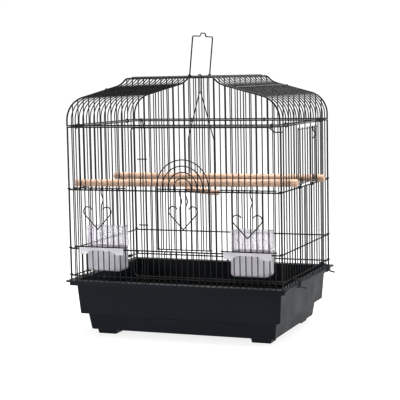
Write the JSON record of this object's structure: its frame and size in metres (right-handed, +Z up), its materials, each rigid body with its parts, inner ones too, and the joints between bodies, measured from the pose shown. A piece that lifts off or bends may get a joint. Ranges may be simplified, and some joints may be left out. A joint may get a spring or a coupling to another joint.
{
  "type": "bird cage",
  "caption": "Rectangular wire bird cage with an arched roof, sliding front doors, a hinged side door, perches, a swing, feeder cups and a pull-out tray in a moulded base.",
  "frame": {"origin": "centre of the footprint, on the surface the feet stand on", "axes": "+Z up, -Y is the front with the doors and the pull-out tray, +X is the cage's right as seen from the front"},
  "size_m": [0.503, 0.3458, 0.6139],
  "materials": {
    "black_wire": "gloss black coating",
    "black_plastic": "semi-gloss moulded plastic",
    "cup_plastic": "milky translucent moulded plastic",
    "perch_wood": "sanded beech dowel"
  },
  "bodies": {
    "cage": {"back_gable_bars": "black_wire", "back_panel": "black_wire", "base_feet": "black_plastic", "base_tray": "black_plastic", "corner_hooks": "black_wire", "corner_posts": "black_wire", "floor_grille": "black_wire", "front_border_wire": "black_wire", "front_gable_bars": "black_wire", "front_panel": "black_wire", "front_perch": "perch_wood", "front_seam_rod": "black_wire", "left_feeder_cup": "cup_plastic", "left_feeder_hood": "cup_plastic", "left_side_panel": "black_wire", "rear_perch": "perch_wood", "right_feeder_cup": "cup_plastic", "right_feeder_hood": "cup_plastic", "right_side_panel": "black_wire", "roof_back_arch": "black_wire", "roof_base_rails": "black_wire", "roof_clips": "black_wire", "roof_cross_wires": "black_wire", "roof_front_arch": "black_wire", "roof_wires": "black_wire", "seam_clips": "black_wire"},
    "tray": {"pull_out_tray": "black_plastic"},
    "front_door": {"front_door_bars": "black_wire", "front_door_cross_wires": "black_wire", "front_door_fan": "black_wire", "front_door_heart": "black_wire"},
    "left_feeder_door": {"left_feeder_door_bars": "black_wire", "left_feeder_door_cross_wires": "black_wire", "left_feeder_door_heart": "black_wire"},
    "right_feeder_door": {"right_feeder_door_bars": "black_wire", "right_feeder_door_cross_wires": "black_wire", "right_feeder_door_heart": "black_wire"},
    "side_door": {"side_door_bars": "black_wire", "side_door_cross_wires": "black_wire", "side_door_hinge_eyes": "black_wire", "side_door_catch": "black_wire"},
    "handle": {"carry_handle": "black_wire"},
    "swing": {"swing_frame": "black_wire", "swing_bar": "perch_wood"},
    "front_left_latch": {"front_left_latch": "black_wire"},
    "front_right_latch": {"front_right_latch": "black_wire"},
    "rear_left_latch": {"rear_left_latch": "black_wire"},
    "rear_right_latch": {"rear_right_latch": "black_wire"}
  },
  "joints": [
    {"name": "tray_slide", "type": "slide", "parent": "cage", "child": "tray", "axis": [0, -1, 0], "range_m": [0, 0.24]},
    {"name": "front_door_slide", "type": "slide", "parent": "cage", "child": "front_door", "axis": [0, 0, 1], "range_m": [0, 0.105]},
    {"name": "left_feeder_door_slide", "type": "slide", "parent": "cage", "child": "left_feeder_door", "axis": [0, 0, 1], "range_m": [0, 0.105]},
    {"name": "right_feeder_door_slide", "type": "slide", "parent": "cage", "child": "right_feeder_door", "axis": [0, 0, 1], "range_m": [0, 0.105]},
    {"name": "side_door_hinge", "type": "hinge", "parent": "cage", "child": "side_door", "pos_m": [0.22269, 0.0086, 0.3006], "axis": [0, 1, 0], "range_deg": [0, 95]},
    {"name": "handle_hinge", "type": "hinge", "parent": "cage", "child": "handle", "pos_m": [0, 0, 0.52511], "axis": [0, 1, 0], "range_deg": [-90, 80]},
    {"name": "swing_hinge", "type": "hinge", "parent": "cage", "child": "swing", "pos_m": [0, 0, 0.52511], "axis": [0.8434, -0.5373, 0], "range_deg": [-12, 12]},
    {"name": "front_left_latch_hinge", "type": "hinge", "parent": "cage", "child": "front_left_latch", "pos_m": [-0.22269, -0.08553, 0.1252], "axis": [0, 1, 0], "range_deg": [0, 70]},
    {"name": "rear_left_latch_hinge", "type": "hinge", "parent": "cage", "child": "rear_left_latch", "pos_m": [-0.22269, 0.11974, 0.1252], "axis": [0, 1, 0], "range_deg": [0, 70]},
    {"name": "front_right_latch_hinge", "type": "hinge", "parent": "cage", "child": "front_right_latch", "pos_m": [0.22269, -0.08553, 0.1252], "axis": [0, -1, 0], "range_deg": [0, 70]},
    {"name": "rear_right_latch_hinge", "type": "hinge", "parent": "cage", "child": "rear_right_latch", "pos_m": [0.22269, 0.11974, 0.1252], "axis": [0, -1, 0], "range_deg": [0, 70]}
  ]
}
